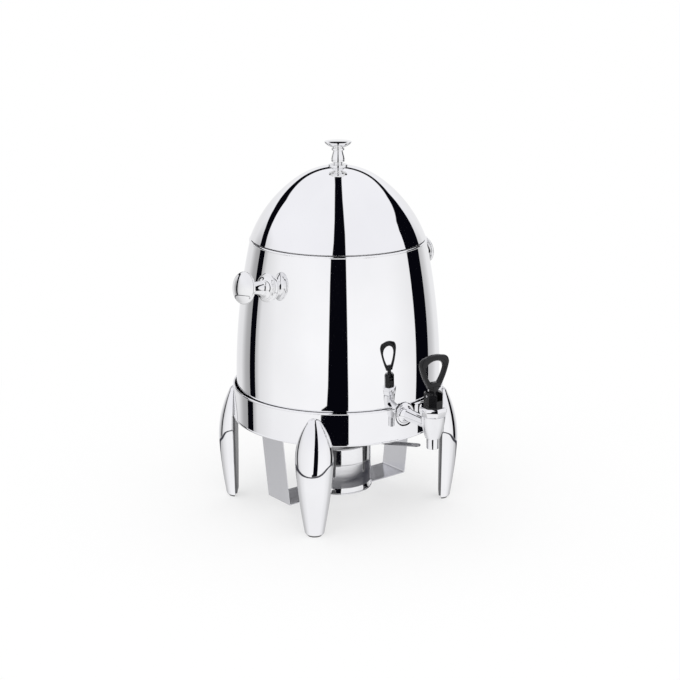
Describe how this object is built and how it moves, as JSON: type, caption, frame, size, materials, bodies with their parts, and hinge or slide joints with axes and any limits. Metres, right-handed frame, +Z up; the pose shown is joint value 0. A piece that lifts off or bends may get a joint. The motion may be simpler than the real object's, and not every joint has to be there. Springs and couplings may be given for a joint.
{
  "type": "coffee urn",
  "caption": "Polished steel coffee urn with a lift-off domed lid and lever tap, on a ring stand with half-round legs and a strap shelf for a fuel burner.",
  "frame": {"origin": "on the table, under the urn's vertical axis", "axes": "+Z up, -Y out of the front through the tap, +X to the right seen from the front"},
  "size_m": [0.381, 0.3917, 0.5459],
  "materials": {
    "stand_mirror": "mirror-polished stainless steel",
    "leg_mirror": "mirror-polished stainless steel pressing",
    "leg_back": "dark satin plate closing the leg",
    "foot_rubber": "soft non-slip pad",
    "fastener_steel": "plain stainless fastener",
    "shelf_satin": "satin stainless strap",
    "burner_steel": "bright stainless can",
    "damper_satin": "satin stainless pressing",
    "cup_steel": "plain drawn steel cup",
    "vessel_mirror": "mirror-polished stainless steel",
    "inner_satin": "satin stainless steel",
    "liner_satin": "satin spun stainless liner",
    "knob_mirror": "polished turned metal",
    "tap_chrome": "polished chrome-plated casting",
    "silicone": "pale food-grade silicone",
    "black_plastic": "glossy black moulded plastic",
    "valve_steel": "turned stainless steel",
    "valve_seal": "moulded silicone seal"
  },
  "bodies": {
    "stand": {"ring_band": "stand_mirror", "leg_front_right": "leg_mirror", "leg_rear_right": "leg_mirror", "leg_rear_left": "leg_mirror", "leg_front_left": "leg_mirror", "leg_back_plate_front_right": "leg_back", "leg_back_plate_rear_right": "leg_back", "leg_back_plate_rear_left": "leg_back", "leg_back_plate_front_left": "leg_back", "foot_pad_front_right": "foot_rubber", "foot_pad_rear_right": "foot_rubber", "foot_pad_rear_left": "foot_rubber", "foot_pad_front_left": "foot_rubber", "leg_screws": "fastener_steel", "burner_shelf": "shelf_satin", "shelf_rivets": "fastener_steel"},
    "vessel": {"outer_shell": "vessel_mirror", "base_ring": "inner_satin", "inner_liner": "liner_satin", "vessel_rim": "vessel_mirror", "side_knob_left": "knob_mirror", "side_knob_right": "knob_mirror", "side_knob_flange_left": "knob_mirror", "side_knob_flange_right": "knob_mirror", "side_knob_studs": "fastener_steel", "side_knob_nuts": "fastener_steel", "tap_body": "tap_chrome", "tap_flange": "tap_chrome", "tap_spacer": "silicone", "tap_wall_bush": "silicone", "tap_inner_gasket": "silicone", "tap_lock_nut": "fastener_steel", "tap_collar": "tap_chrome", "tap_bonnet": "black_plastic", "tap_pivot_pin": "fastener_steel", "tap_spring": "valve_steel"},
    "lid": {"lid_dome": "vessel_mirror", "lid_rim_plate": "inner_satin", "lid_finial": "knob_mirror", "lid_finial_screw": "fastener_steel", "lid_finial_washer": "fastener_steel"},
    "tap_lever": {"tap_handle": "black_plastic"},
    "tap_valve": {"tap_stem": "valve_steel", "tap_seat_cup": "valve_seal"},
    "burner": {"burner_can": "burner_steel", "fuel_cup": "cup_steel"},
    "burner_cover": {"burner_cover": "burner_steel", "damper_rivet": "fastener_steel"},
    "damper": {"damper": "damper_satin"}
  },
  "joints": [
    {"name": "vessel_lift", "type": "slide", "parent": "stand", "child": "vessel", "axis": [0, 0, 1], "range_m": [0, 0.1]},
    {"name": "lid_lift", "type": "slide", "parent": "vessel", "child": "lid", "axis": [0, 0, 1], "range_m": [0, 0.2]},
    {"name": "tap_lever_tip", "type": "hinge", "parent": "vessel", "child": "tap_lever", "pos_m": [0, -0.2155, 0.217], "axis": [1, 0, 0], "range_deg": [0, 30], "stiffness_Nm_per_rad": 0.06, "springref_deg": -22.92},
    {"name": "tap_valve_rise", "type": "slide", "parent": "vessel", "child": "tap_valve", "axis": [0, 0, 1], "range_m": [0, 0.004], "deforming": ["tap_spring"]},
    {"name": "burner_pull", "type": "slide", "parent": "stand", "child": "burner", "axis": [0, -1, 0], "range_m": [0, 0.25]},
    {"name": "cover_lift", "type": "slide", "parent": "burner", "child": "burner_cover", "axis": [0, 0, 1], "range_m": [0, 0.02]},
    {"name": "damper_swing", "type": "hinge", "parent": "burner_cover", "child": "damper", "pos_m": [0.02015, -0.03103, 0.092], "axis": [0, 0, 1], "range_deg": [-90, 0]}
  ],
  "couplings": [
    {"joint": "tap_valve_rise", "follows": "tap_lever_tip", "m_per_rad": 0.0076}
  ]
}
